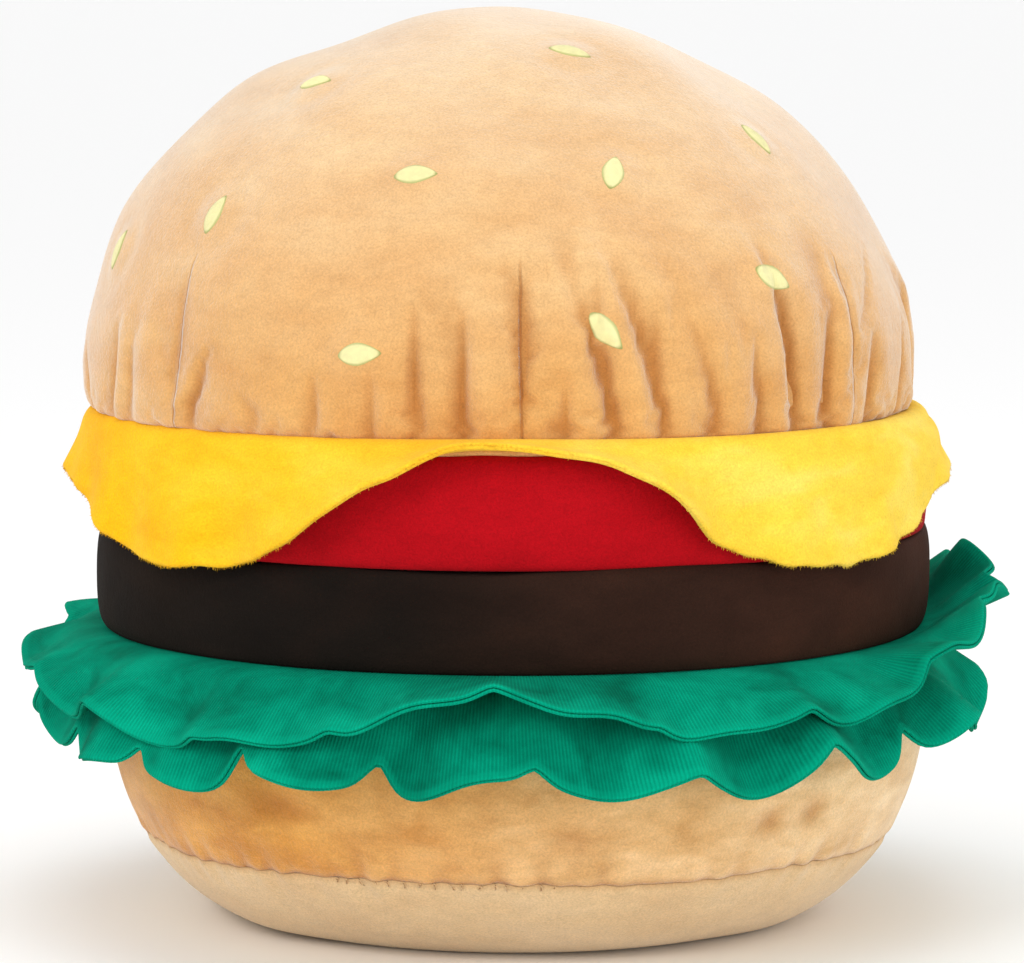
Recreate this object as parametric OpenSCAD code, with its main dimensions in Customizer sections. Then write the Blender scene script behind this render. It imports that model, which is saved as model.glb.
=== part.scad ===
// Stuffed hamburger cushion, sewn from plush panels.
// Origin at the centre of the flat spot it stands on, +Z up, front towards -Y. Millimetres.
// An azimuth of 0 is the front, and it grows anticlockwise as seen from above.

/* [Overall] */
// Widest radius of the top bun
bun_r = 174.5; // [172:0.5:178]
// Height of the crown above the floor
total_h = 382; // [370:1:400]
// Widest radius of the bottom bun
bottom_bun_r = 174; // [172:0.5:177]
// Radius of the flat spot under the bottom bun
foot_r = 98; // [80:1:110]

/* [Fabric] */
// Thickness of the plush covers, pile included
plush_t = 2.5; // [1.5:0.1:3.5]
// Thickness of the cheese, pile included
cheese_t = 3; // [2:0.1:3.5]
// Thickness of one ply of a lettuce frill
ply_t = 1.6; // [1:0.1:2]
// Width of the seam allowances turned inside
allowance = 9; // [6:0.5:12]
// Radius of the sewing thread
thread_r = 0.4; // [0.3:0.05:0.6]

/* [Seams] */
// Height of the seam between the base panel and the side of the bottom bun
base_seam_z = 37; // [34:1:40]
// Radius of the base seam
base_seam_r = 156; // [150:1:158]
// Height of the patty's lower edge, where the frills are sewn in
lettuce_seam_z = 124; // [122:1:126]
// Radius of the lettuce seam
lettuce_seam_r = 171; // [169:0.5:172]
// Height of the seam between the patty and the tomato
patty_seam_z = 165; // [158:1:172]
// Height of the tomato's upper edge
tomato_seam_z = 209.5; // [207:0.5:212]
// Radius of the seam that holds the cheese
cheese_seam_r = 170; // [168:0.5:171]
// Radius of the seam between the patty and the tomato
patty_seam_r = 172; // [170:0.5:173]
// Widest radius of the patty and of the tomato
filling_r = 176; // [174:0.5:178]

/* [Cheese] */
// Half of the slice's side, laid flat
cheese_half_side = 200; // [190:1:204]
// Rounding of the slice's corners
cheese_corner_r = 115; // [100:1:130]
// How far the slice sits towards the back
cheese_shift = 8; // [0:1:12]

/* [Lettuce] */
// Width of the upper frill beyond its seam
upper_frill_w = 46; // [40:1:50]
// Width of the lower frill beyond its seam
lower_frill_w = 58; // [50:1:60]
// Number of scallops round each frill
scallops = 20; // [14:1:24]
// Depth of a scallop
scallop_depth = 9; // [5:1:11]

/* [Sesame seeds] */
// Length of an embroidered seed
seed_l = 17; // [14:0.5:20]
// Width of an embroidered seed
seed_w = 9.5; // [7:0.5:11]
// Height of the embroidery above the plush
seed_h = 0.8; // [0.5:0.1:1.2]

/* [Closing stitches] */
// Number of hand stitches that close the base seam
stitch_count = 14; // [8:1:20]
// Azimuth of the first stitch
stitch_from = -27; // [-40:1:-20]
// Azimuth of the last stitch
stitch_to = 8; // [0:1:20]

/* [Care label] */
// Width of the folded label
label_w = 24; // [15:1:35]
// Length of the folded label
label_l = 30; // [20:1:34]
// Azimuth of the label
label_azimuth = 200; // [150:1:220]

/* [Hidden] */
$fn = 96;

underside_top_z = tomato_seam_z + plush_t;
crown_z = underside_top_z + cheese_t;
widest_z = crown_z + 24;
bottom_bun_top_z = lettuce_seam_z - 4 * ply_t;
bottom_bun_widest_z = base_seam_z + 55;

// Powers of the superellipses: 2 is round, less is flatter, more is squarer
crown_power = 1.9;
tuck_power = 3.2;
band_power = 2.6;
side_power = 1.45;
base_power = 1.6;

crown_steps = 16;
edge_steps = 6;

sheet_columns = 100;
sheet_bend = 12;

// Droop of each frill in degrees at equal steps of azimuth. A negative angle stands up.
upper_droop = [2, 18, 26, -4, -24, -32, -26, 0, 10, 16, 6, 12, 20, 6, 0, 8, 14, 38, 38, 20];
lower_droop = [42, 42, 46, 32, 30, 34, 38, 42, 40, 44, 40, 42, 46, 40, 42, 46, 46, 50, 50, 46];

// The same for the slice's edge, which drapes over the tomato at its corners
cheese_droop = [4, 26, 72, 80, 80, 72, 64, 70, 78, 80, 78, 70,
                62, 70, 78, 80, 78, 70, 64, 72, 80, 80, 72, 26];

// [azimuth, height, turn] of each seed. A turn of 0 lies level, and 90 points up the crown.
seed_places = [
    [-45, 351, 0], [22, 365, 0], [55, 331, -40], [19, 320, 90], [-13, 317, 0],
    [-47, 301, 60], [-73, 284, 70], [40, 276, -45], [14, 258, -65], [-18, 249, 0],
    [104, 296, 20], [112, 248, 75], [135, 335, -30], [142, 270, 60], [165, 305, 90],
    [172, 248, 0], [195, 345, 0], [205, 275, -60], [228, 318, 45], [246, 262, 80]
];
seed_steps = 18;

stitch_l = 6.5;
label_t = 0.4;
label_gap = 1;
label_tilt = 35;

function seed_name(i) = str("sesame_seed_", i < 9 ? "0" : "", i + 1);

bun_colour = [0.85, 0.65, 0.42];
base_colour = [0.89, 0.75, 0.58];
cheese_colour = [0.99, 0.81, 0.18];
tomato_colour = [0.76, 0.07, 0.10];
patty_colour = [0.16, 0.10, 0.08];
lettuce_colour = [0.0, 0.58, 0.42];
seed_colour = [0.97, 0.95, 0.62];
thread_colour = [0.80, 0.66, 0.46];
white = [0.96, 0.96, 0.95];

// ---- Curves in the radial plane, as [radius, height] ----

// Quarter of a superellipse that leaves [r0, z0] upright and comes to [r1, z1] level
function quarter(r0, z0, r1, z1, power, steps) = [
    for (i = [0:steps])
        let (a = 90 * i / steps)
        [r1 + (r0 - r1) * pow(cos(a), 2 / power), z0 + (z1 - z0) * pow(sin(a), 2 / power)]
];

function reversed(list) = [for (i = [len(list) - 1:-1:0]) list[i]];

// From the lower seam [r0, z0] out to the widest radius and in to the upper seam [r1, z1]
function band(r0, z0, r1, z1, inset = 0) =
    let (mid_z = (z0 + z1) / 2, mid_r = filling_r - inset)
    concat(
        reversed(quarter(mid_r, mid_z, r0 - inset, z0 + inset, band_power, edge_steps)),
        quarter(mid_r, mid_z, r1 - inset, z1 - inset, band_power, edge_steps));

function patty_profile(inset = 0) =
    band(lettuce_seam_r, lettuce_seam_z, patty_seam_r, patty_seam_z, inset);

function tomato_profile(inset = 0) =
    band(patty_seam_r, patty_seam_z, cheese_seam_r, tomato_seam_z, inset);

function base_profile(inset = 0) =
    reversed(quarter(base_seam_r - inset, base_seam_z - inset, foot_r, inset, base_power, 10));

function side_profile(inset = 0) = concat(
    reversed(quarter(bottom_bun_r - inset, bottom_bun_widest_z, base_seam_r - inset,
                     base_seam_z + inset, side_power, 10)),
    quarter(bottom_bun_r - inset, bottom_bun_widest_z, lettuce_seam_r - 1 - inset,
            bottom_bun_top_z - inset, tuck_power, edge_steps));

function crown_profile(inset = 0) = concat(
    reversed(quarter(bun_r - inset, widest_z, cheese_seam_r - inset, crown_z + inset,
                     tuck_power, edge_steps)),
    quarter(bun_r - inset, widest_z, 0, total_h - inset, crown_power, crown_steps));

// ---- Sewn covers: a shell with its seam allowances turned inside ----

// Solid of revolution between an outer and an inner curve, each listed from its lower end.
// An end on the axis or on the flat foot needs no allowance.
module cover(outer, inner) {
    low = outer[0];
    high = outer[len(outer) - 1];
    high_end = high[0] == 0
        ? []
        : [[high[0] - allowance, high[1]], [high[0] - allowance, high[1] - plush_t]];
    low_end = low[0] == foot_r
        ? [[0, plush_t], [0, 0]]
        : [[low[0] - allowance, low[1] + plush_t], [low[0] - allowance, low[1]]];
    rotate_extrude() polygon(concat(outer, high_end, reversed(inner), low_end));
}

// Ring that the stitches of a seam make inside the ply above it
module seam_ring(r, z) {
    rotate_extrude() translate([r - allowance / 3, z + plush_t / 2]) circle(thread_r, $fn = 16);
}

module base_panel() {
    color(base_colour) cover(base_profile(), base_profile(plush_t));
}

module base_seam_thread() {
    color(thread_colour) seam_ring(base_seam_r, base_seam_z);
}

module bottom_bun_side() {
    color(bun_colour) difference() {
        cover(side_profile(), side_profile(plush_t));
        seam_ring(base_seam_r, base_seam_z);
    }
}

module patty_band() {
    color(patty_colour) difference() {
        cover(patty_profile(), patty_profile(plush_t));
        seam_ring(lettuce_seam_r, lettuce_seam_z);
    }
}

module lettuce_seam_thread() {
    color(lettuce_colour) seam_ring(lettuce_seam_r, lettuce_seam_z);
}

module tomato_band() {
    color(tomato_colour) difference() {
        cover(tomato_profile(), tomato_profile(plush_t));
        seam_ring(patty_seam_r, patty_seam_z);
    }
}

module patty_seam_thread() {
    color(tomato_colour) seam_ring(patty_seam_r, patty_seam_z);
}

// Flat disc with a rolled rim, sewn to the tomato's upper edge
module top_bun_underside() {
    rim_r = plush_t / 2;
    color(bun_colour) difference() {
        rotate_extrude() union() {
            translate([0, tomato_seam_z]) square([cheese_seam_r, plush_t]);
            intersection() {
                translate([cheese_seam_r, tomato_seam_z + rim_r]) circle(rim_r, $fn = 24);
                translate([cheese_seam_r, tomato_seam_z]) square(plush_t);
            }
        }
        seam_ring(cheese_seam_r, tomato_seam_z);
    }
}

module tomato_seam_thread() {
    color(tomato_colour) seam_ring(cheese_seam_r, tomato_seam_z);
}

module top_bun_cover() {
    color(bun_colour) difference() {
        cover(crown_profile(), crown_profile(plush_t));
        seam_ring(cheese_seam_r, crown_z);
    }
}

module cheese_seam_thread() {
    color(thread_colour) seam_ring(cheese_seam_r, crown_z);
}

// ---- Stuffing ----

// Step round the allowances of a seam between two covers
function round_seam(r, z0, z1) = [[r - allowance, z0 - plush_t], [r - allowance, z1 + plush_t]];

module lower_fill() {
    color(white) rotate_extrude() polygon(concat(
        [[0, plush_t]],
        base_profile(plush_t),
        round_seam(base_seam_r, base_seam_z, base_seam_z),
        side_profile(plush_t),
        [[lettuce_seam_r - 1 - allowance, bottom_bun_top_z - plush_t],
         [lettuce_seam_r - 1 - allowance, lettuce_seam_z + plush_t]],
        patty_profile(plush_t),
        round_seam(patty_seam_r, patty_seam_z, patty_seam_z),
        tomato_profile(plush_t),
        [[cheese_seam_r - allowance, tomato_seam_z - plush_t],
         [cheese_seam_r - allowance, tomato_seam_z],
         [0, tomato_seam_z]]));
}

module top_bun_fill() {
    color(white) rotate_extrude() polygon(concat(
        [[0, crown_z],
         [cheese_seam_r - allowance, crown_z],
         [cheese_seam_r - allowance, crown_z + plush_t]],
        crown_profile(plush_t)));
}

// ---- Sheets held in a seam, that bend over its edge and hang ----

// Value of a closed list of equal steps at an azimuth, eased between its entries
function around(list, azimuth) =
    let (n = len(list), p = (azimuth / 360 - floor(azimuth / 360)) * n, i = floor(p),
         ease = (1 - cos(180 * (p - i))) / 2)
    list[i % n] * (1 - ease) + list[(i + 1) % n] * ease;

// [radius, height, tilt] at the distance s past the seam [r, z], for a sheet that droops by an angle
function hang(r, z, s, droop) =
    s <= 0 ? [r + s, z, 0]
    : s <= sheet_bend
        ? let (tilt = droop * s / sheet_bend) [r + s * cos(tilt / 2), z - s * sin(tilt / 2), tilt]
        : let (end = hang(r, z, sheet_bend, droop), rest = s - sheet_bend)
          [end[0] + rest * cos(droop), end[1] - rest * sin(droop), droop];

// Distances from the seam of the rows of a sheet of a given width
function rows(start, width) =
    [start, 0, sheet_bend / 2, sheet_bend, (sheet_bend + width) / 2, width];

// Corners on one face of a sheet at one azimuth, raised by `up` from its mid surface
function column(azimuth, hung, up) = [
    for (p = hung)
        let (r = p[0] + up * sin(p[2]))
        [r * sin(azimuth), -r * cos(azimuth), p[1] + up * cos(p[2])]
];

// Closed sheet from its columns on the upper and the lower face. Each column starts at the
// inner edge. A whole sheet has no hole in its middle.
module sheet(upper, lower, whole = false) {
    n = len(upper);
    m = len(upper[0]);
    side = n * m;
    function at(i, j) = (i % n) * m + j;
    points = concat([for (c = upper) each c], [for (c = lower) each c]);
    grid = [for (i = [0:n - 1], j = [0:m - 2])
        each [[at(i, j), at(i, j + 1), at(i + 1, j + 1)], [at(i, j), at(i + 1, j + 1), at(i + 1, j)]]];
    function wall(j) = [for (i = [0:n - 1])
        each [[at(i, j), at(i + 1, j), side + at(i + 1, j)],
              [at(i, j), side + at(i + 1, j), side + at(i, j)]]];
    middle = [[for (i = [n - 1:-1:0]) at(i, 0)], [for (i = [0:n - 1]) side + at(i, 0)]];
    polyhedron(points, concat(
        [for (f = grid) reversed(f)],
        [for (f = grid) [for (v = f) side + v]],
        wall(m - 1),
        whole ? middle : [for (f = wall(0)) reversed(f)]));
}

azimuths = [for (i = [0:sheet_columns - 1]) 360 * i / sheet_columns];

// Distance from the middle of a centred flat slice to its edge
function square_edge(azimuth) =
    let (a = abs((azimuth / 90 - floor(azimuth / 90)) * 90 - 45),
         c = (cheese_half_side - cheese_corner_r) * sqrt(2),
         side = cheese_half_side / cos(45 - a),
         corner = c * cos(a) + sqrt(pow(cheese_corner_r, 2) - pow(c * sin(a), 2)))
    side * sin(45 - a) > cheese_half_side - cheese_corner_r ? corner : side;

// The same for the slice where it is sewn, a little towards the back
function slice_edge(azimuth) = square_edge(azimuth) - cheese_shift * cos(azimuth);

module cheese_slice() {
    mid_z = underside_top_z + cheese_t / 2;
    hung = [for (a = azimuths) [
        for (s = rows(-allowance, slice_edge(a) - cheese_seam_r))
            hang(cheese_seam_r + 1, mid_z, s, around(cheese_droop, a))]];
    color(cheese_colour) sheet(
        [for (i = [0:sheet_columns - 1]) column(azimuths[i], hung[i], cheese_t / 2)],
        [for (i = [0:sheet_columns - 1]) column(azimuths[i], hung[i], -cheese_t / 2)],
        whole = true);
}

function frill_width(width, azimuth) =
    width - scallop_depth * (1 - pow(abs(sin(scallops * azimuth / 2)), 0.7));

// One ply of a frill, from `low` to `high` above the frill's mid surface
module frill_ply(z, width, droop, low, high) {
    hung = [for (a = azimuths) [
        for (s = rows(-allowance, frill_width(width, a)))
            hang(lettuce_seam_r, z, s, around(droop, a))]];
    color(lettuce_colour) sheet(
        [for (i = [0:sheet_columns - 1]) column(azimuths[i], hung[i], high)],
        [for (i = [0:sheet_columns - 1]) column(azimuths[i], hung[i], low)]);
}

upper_frill_z = lettuce_seam_z - ply_t;
lower_frill_z = lettuce_seam_z - 3 * ply_t;

module lettuce_upper_face() {
    frill_ply(upper_frill_z, upper_frill_w, upper_droop, 0, ply_t);
}

module lettuce_upper_back() {
    frill_ply(upper_frill_z, upper_frill_w, upper_droop, -ply_t, 0);
}

module lettuce_lower_face() {
    frill_ply(lower_frill_z, lower_frill_w, lower_droop, 0, ply_t);
}

module lettuce_lower_back() {
    frill_ply(lower_frill_z, lower_frill_w, lower_droop, -ply_t, 0);
}

// ---- Small pieces ----

// Leaf outline, blunt at one end and pointed at the other
module seed_outline() {
    polygon([
        for (i = [0:seed_steps - 1])
            let (a = 360 * i / seed_steps)
            [seed_l / 2 * cos(a),
             seed_w / 2 * sign(sin(a)) * pow(abs(sin(a)), 1.3) * (1 - 0.25 * cos(a))]]);
}

// Layer of the crown between its surface and the top of the embroidery
module embroidery_layer() {
    difference() {
        rotate_extrude() polygon(concat([[0, crown_z]], crown_profile(-seed_h)));
        rotate_extrude() polygon(concat([[0, crown_z]], crown_profile()));
    }
}

module sesame_seed(azimuth, height, turn) {
    rise = (height - widest_z) / (total_h - widest_z);
    reach = pow(1 - pow(rise, crown_power), 1 / crown_power);
    slope = atan2(pow(reach, crown_power - 1) / bun_r,
                  pow(rise, crown_power - 1) / (total_h - widest_z));
    color(seed_colour) intersection() {
        rotate([0, 0, azimuth])
            translate([0, -reach * bun_r, height])
                rotate([slope, 0, turn])
                    linear_extrude(12, center = true) seed_outline();
        embroidery_layer();
    }
}

// Hand stitches across the seam, each one leaning a little differently
module closing_stitches() {
    for (i = [0:stitch_count - 1]) {
        lean = 14 * sin(137 * i);
        color(thread_colour)
            rotate([0, 0, stitch_from + (stitch_to - stitch_from) * i / (stitch_count - 1)])
                translate([0, -base_seam_r - thread_r, base_seam_z])
                    rotate([26, lean, 0])
                        cylinder(h = stitch_l, r = thread_r, center = true, $fn = 16);
    }
}

// Strip folded double, with its fold outwards and its ends in the seam
module care_label() {
    thick = 2 * label_t + label_gap;
    color(white)
        rotate([0, 0, label_azimuth])
            translate([0, -base_seam_r - 1, base_seam_z])
                rotate([label_tilt, 0, 0])
                    rotate([0, -90, 0])
                        linear_extrude(label_w, center = true)
                            difference() {
                                folded(thick / 2);
                                folded(label_gap / 2);
                            }
}

// Half-round ended strip of a given half thickness, drawn across the label's length
module folded(half) {
    translate([-half, -label_l]) square([2 * half, label_l]);
    translate([0, -label_l]) circle(half, $fn = 24);
}

base_panel();
bottom_bun_side();
base_seam_thread();
closing_stitches();
care_label();
lettuce_lower_back();
lettuce_lower_face();
lettuce_upper_back();
lettuce_upper_face();
lettuce_seam_thread();
patty_band();
patty_seam_thread();
tomato_band();
tomato_seam_thread();
top_bun_underside();
cheese_slice();
cheese_seam_thread();
top_bun_cover();
lower_fill();
top_bun_fill();
for (i = [0:len(seed_places) - 1])
    sesame_seed(seed_places[i][0], seed_places[i][1], seed_places[i][2]);
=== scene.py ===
import math

import bpy
import numpy as np
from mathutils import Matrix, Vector
from mathutils.bvhtree import BVHTree


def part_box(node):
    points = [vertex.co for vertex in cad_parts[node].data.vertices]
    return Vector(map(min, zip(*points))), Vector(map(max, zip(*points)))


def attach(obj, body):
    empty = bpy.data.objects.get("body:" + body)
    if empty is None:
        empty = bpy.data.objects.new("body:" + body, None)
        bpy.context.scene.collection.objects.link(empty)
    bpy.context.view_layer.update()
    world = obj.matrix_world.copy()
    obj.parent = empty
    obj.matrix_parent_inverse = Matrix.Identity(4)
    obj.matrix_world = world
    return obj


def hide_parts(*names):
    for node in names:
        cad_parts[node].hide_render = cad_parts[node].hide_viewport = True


# Looks of the stuffed hamburger cushion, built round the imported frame. Metres, front towards -Y.
# An azimuth of 0 is the front and it grows anticlockwise as seen from above, as in the frame.

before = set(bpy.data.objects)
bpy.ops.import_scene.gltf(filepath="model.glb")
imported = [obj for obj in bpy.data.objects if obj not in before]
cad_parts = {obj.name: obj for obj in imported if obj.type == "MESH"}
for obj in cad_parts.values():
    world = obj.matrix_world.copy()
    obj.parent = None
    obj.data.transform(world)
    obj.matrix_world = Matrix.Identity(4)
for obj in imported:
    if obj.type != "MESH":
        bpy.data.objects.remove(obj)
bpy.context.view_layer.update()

MM = 0.001
BODY = "root"

# ---- Places taken from the frame ----


def low_z(node):
    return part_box(node)[0][2]


def high_z(node):
    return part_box(node)[1][2]


def radius_of(node):
    low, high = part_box(node)
    return (high[0] - low[0]) / 2


CROWN_Z = low_z("top_bun_cover")
CROWN_TOP = high_z("top_bun_cover")
CROWN_R = radius_of("top_bun_cover")
CROWN_WIDEST_Z = CROWN_Z + 24 * MM
UNDERSIDE_Z = low_z("top_bun_underside")
CHEESE_MID_Z = (high_z("top_bun_underside") + CROWN_Z) / 2
CHEESE_SEAM_R = radius_of("top_bun_underside") - 1.25 * MM
TOMATO_Z = low_z("tomato_band")
PATTY_Z = low_z("patty_band")
FILLING_R = radius_of("patty_band")
PATTY_SEAM_R = CHEESE_SEAM_R + 2 * MM
LETTUCE_SEAM_R = CHEESE_SEAM_R + 1 * MM
SIDE_TOP_Z = high_z("bottom_bun_side")
SIDE_R = radius_of("bottom_bun_side")
BASE_SEAM_Z = high_z("base_panel")
BASE_SEAM_R = radius_of("base_panel")
SIDE_WIDEST_Z = BASE_SEAM_Z + 55 * MM
FOOT_R = 98 * MM

CROWN_SHIFT = -3 * MM
DRUM_SHIFT = 3 * MM
DARTS = 7
FIRST_DART = 3
DART_L = 72 * MM

ALLOWANCE = 9 * MM
PLY = 1.6 * MM
CHEESE_T = 3 * MM

# ---- Camera, made first ----

CAMERA_DISTANCE = 2.0
CAMERA_HEIGHT = 0.391
CAMERA_ASIDE = 2.5 * MM
CAMERA_PITCH = math.radians(5.96)
LENS_MM = 166.75


def make_camera():
    camera = bpy.data.objects.new("camera", bpy.data.cameras.new("camera"))
    bpy.context.collection.objects.link(camera)
    camera.data.lens = LENS_MM
    camera.data.clip_start, camera.data.clip_end = 0.1, 500
    camera.location = (CAMERA_ASIDE, -CAMERA_DISTANCE, CAMERA_HEIGHT)
    camera.rotation_euler = (math.pi / 2 - CAMERA_PITCH, 0, 0)
    bpy.context.scene.camera = camera


make_camera()

# ---- Node materials ----


def material(name, base_colour, roughness, sheen, sheen_colour, specular=0.08):
    """A Principled material with its uniform values on the shader itself."""
    mat = bpy.data.materials.new(name)
    mat.use_nodes = True
    shader = mat.node_tree.nodes["Principled BSDF"]
    shader.inputs["Base Color"].default_value = (*base_colour, 1)
    shader.inputs["Roughness"].default_value = roughness
    shader.inputs["Specular IOR Level"].default_value = specular
    shader.inputs["Sheen Weight"].default_value = sheen
    shader.inputs["Sheen Roughness"].default_value = 0.45
    shader.inputs["Sheen Tint"].default_value = (*sheen_colour, 1)
    return mat


def add(mat, kind, **values):
    """A new node with its properties, and its sockets set by name with _ for a space."""
    node = mat.node_tree.nodes.new(kind)
    for key, value in values.items():
        socket = key.replace("_", " ")
        if socket in node.inputs:
            node.inputs[socket].default_value = value
        else:
            setattr(node, key, value)
    return node


def join(mat, source, target):
    mat.node_tree.links.new(source, target)


def place(mat, stretch=(1, 1, 1)):
    """The object's own coordinates, in metres, stretched."""
    spot = add(mat, "ShaderNodeTexCoord")
    mapping = add(mat, "ShaderNodeMapping")
    mapping.inputs["Scale"].default_value = stretch
    join(mat, spot.outputs["Object"], mapping.inputs["Vector"])
    return mapping.outputs["Vector"]


def noise(mat, where, feature, detail=3.0, rough=0.55, distortion=0.0):
    """Noise whose features are about the given size in metres."""
    node = add(mat, "ShaderNodeTexNoise", Scale=1 / feature, Detail=detail, Roughness=rough,
               Distortion=distortion)
    join(mat, where, node.inputs["Vector"])
    return node.outputs["Fac"]


def ramp(mat, value, stops):
    """A colour ramp through (position, (r, g, b)) stops."""
    node = add(mat, "ShaderNodeValToRGB")
    elements = node.color_ramp.elements
    while len(elements) < len(stops):
        elements.new(0.5)
    for element, (position, colour) in zip(elements, stops):
        element.position = position
        element.color = (*colour, 1)
    join(mat, value, node.inputs["Fac"])
    return node.outputs["Color"]


def blend(mat, first, second, amount, how="MIX"):
    node = add(mat, "ShaderNodeMix", data_type="RGBA", blend_type=how)
    for socket, value in ((node.inputs[6], first), (node.inputs[7], second), (node.inputs[0], amount)):
        if isinstance(value, (int, float, tuple)):
            socket.default_value = value
        else:
            join(mat, value, socket)
    return node.outputs[2]


def grey(level):
    return (level, level, level)


def bump(mat, value, distance, strength=1.0, under=None):
    node = add(mat, "ShaderNodeBump", Strength=strength, Distance=distance)
    join(mat, value, node.inputs["Height"])
    if under is not None:
        join(mat, under, node.inputs["Normal"])
    return node.outputs["Normal"]


def tinted(mat, colour, value, stops, amount=1.0):
    """The colour times a ramp of the value."""
    return blend(mat, colour, ramp(mat, value, stops), amount, "MULTIPLY")


def finished(mat, colour, normal):
    shader = mat.node_tree.nodes["Principled BSDF"]
    join(mat, colour, shader.inputs["Base Color"])
    join(mat, normal, shader.inputs["Normal"])
    return mat


def attribute(mat, name):
    """A field that is stored on the mesh."""
    return add(mat, "ShaderNodeAttribute", attribute_name=name).outputs["Fac"]


def mixed(mat, first, second, weight):
    """first * (1 - weight) + second * weight, for two single values."""
    node = add(mat, "ShaderNodeMix", data_type="FLOAT")
    node.inputs[0].default_value = weight
    join(mat, first, node.inputs[2])
    join(mat, second, node.inputs[3])
    return node.outputs[0]


def within(mat, value, first, last):
    """0 at the first value, 1 at the last, and straight between."""
    level = add(mat, "ShaderNodeMapRange")
    level.inputs["From Min"].default_value, level.inputs["From Max"].default_value = first, last
    join(mat, value, level.inputs["Value"])
    return level.outputs["Result"]


def arithmetic(mat, operation, *values):
    node = add(mat, "ShaderNodeMath", operation=operation)
    for socket, value in zip(node.inputs, values):
        if isinstance(value, (int, float)):
            socket.default_value = value
        else:
            join(mat, value, socket)
    return node.outputs[0]


def axes_of(mat, where):
    parts = add(mat, "ShaderNodeSeparateXYZ")
    join(mat, where, parts.inputs[0])
    return parts.outputs


def azimuth_of(mat, aside=0.0):
    """Azimuth in radians about an axis that stands `aside` along X."""
    axes = axes_of(mat, place(mat))
    across = arithmetic(mat, "SUBTRACT", axes["X"], aside)
    return arithmetic(mat, "ADD", arithmetic(mat, "ARCTAN2", axes["Y"], across), math.pi / 2)


# Half width of a dart's line of painted shade and where it fades, as shares of the spacing of the darts
DART_LINE, DART_LINE_EDGE = 0.0015, 0.0055
DART_WOBBLE = 0.012


def dart_crease_shade(mat):
    """1 on the sewn crease of each dart, where shade is painted."""
    spacing = 2 * math.pi / DARTS
    first = math.radians(FIRST_DART) - spacing / 2
    past = arithmetic(mat, "SUBTRACT", azimuth_of(mat, CROWN_SHIFT), first)
    turns = arithmetic(mat, "DIVIDE", past, spacing)
    wobbly = arithmetic(mat, "MULTIPLY_ADD", noise(mat, place(mat), 14 * MM, 1), DART_WOBBLE, turns)
    middle = arithmetic(mat, "SUBTRACT", arithmetic(mat, "FRACT", wobbly), 0.5 + DART_WOBBLE / 2)
    line = within(mat, arithmetic(mat, "ABSOLUTE", middle), DART_LINE_EDGE, DART_LINE)
    end = CROWN_Z + DART_L
    below_end = within(mat, axes_of(mat, place(mat))["Z"], end, end - 8 * MM)
    return arithmetic(mat, "MULTIPLY", line, below_end)


def plush(name, dark, mid, light, nap=0.25, sheen=0.35, sheen_colour=(1, 0.9, 0.78), patch=45 * MM,
          folds=True, painted_light_ramp=None, darts=False):
    """Short-pile plush: brushed patches of nap, painted shade in its folds and painted light on their ridges,
    and a fine grain of fibre ends.
    The light ramp is an axis, two places on it and the tint at each end: painted light and shade, lighter
    where more lamp light falls."""
    mat = material(name, mid, 0.9, sheen, sheen_colour)
    where = place(mat)
    brushed = noise(mat, place(mat, (1, 1, 2.2)), patch, 3, 0.55, 0.25)
    colour = ramp(mat, brushed, [(0.5 - nap, dark), (0.5, mid), (0.5 + nap, light)])
    streaks = noise(mat, place(mat, (1, 1, 1.8)), 9 * MM, 3, 0.6, 0.3)
    colour = tinted(mat, colour, streaks, [(0.3, grey(0.9)), (0.7, grey(1.06))], 0.6)
    # Painted light and shade: the ramp tints the pile lighter towards the top or side that the lamps light
    # more.
    if painted_light_ramp:
        axis, start, end, first, last = painted_light_ramp
        level = within(mat, axes_of(mat, where)[axis], start, end)
        uneven = mixed(mat, level, noise(mat, where, 60 * MM, 2, 0.5, 0.4), 0.3)
        colour = tinted(mat, colour, uneven, [(0.15, first), (0.8, last)])
    fibres = noise(mat, where, 0.9 * MM, 2, 0.7)
    colour = tinted(mat, colour, fibres, [(0.3, grey(0.72)), (0.7, grey(1.18))], 0.55)
    # Painted shade: the stored fold field darkens the pile in hollows, creases and seams, and paints light on
    # ridges.
    if folds:
        painted_fold_shades = [(0.0, (0.70, 0.53, 0.36)), (0.5, grey(1.0)), (1.0, (1.03, 1.05, 1.08))]
        colour = tinted(mat, colour, attribute(mat, "fold"), painted_fold_shades)
    soft = bump(mat, noise(mat, where, 3.5 * MM, 3, 0.6), 0.8 * MM, 0.5)
    if darts:
        # Painted shade along each dart's sewn crease, with a bump for its groove.
        seam = dart_crease_shade(mat)
        colour = tinted(mat, colour, seam, [(0, grey(1.0)), (1, (0.76, 0.64, 0.52))])
        soft = bump(mat, arithmetic(mat, "SUBTRACT", 1.0, seam), 0.6 * MM, 0.7, soft)
    return finished(mat, colour, bump(mat, fibres, 0.45 * MM, 0.9, soft))


RIBS = 900


def radial_ribs(mat, count):
    """0 to 1 and back for each of `count` ribs, which run straight out from the cushion's axis."""
    drift = noise(mat, place(mat), 20 * MM)
    wave = arithmetic(mat, "SINE", arithmetic(mat, "MULTIPLY_ADD", azimuth_of(mat), count, drift))
    return within(mat, wave, -1, 1)


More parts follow.
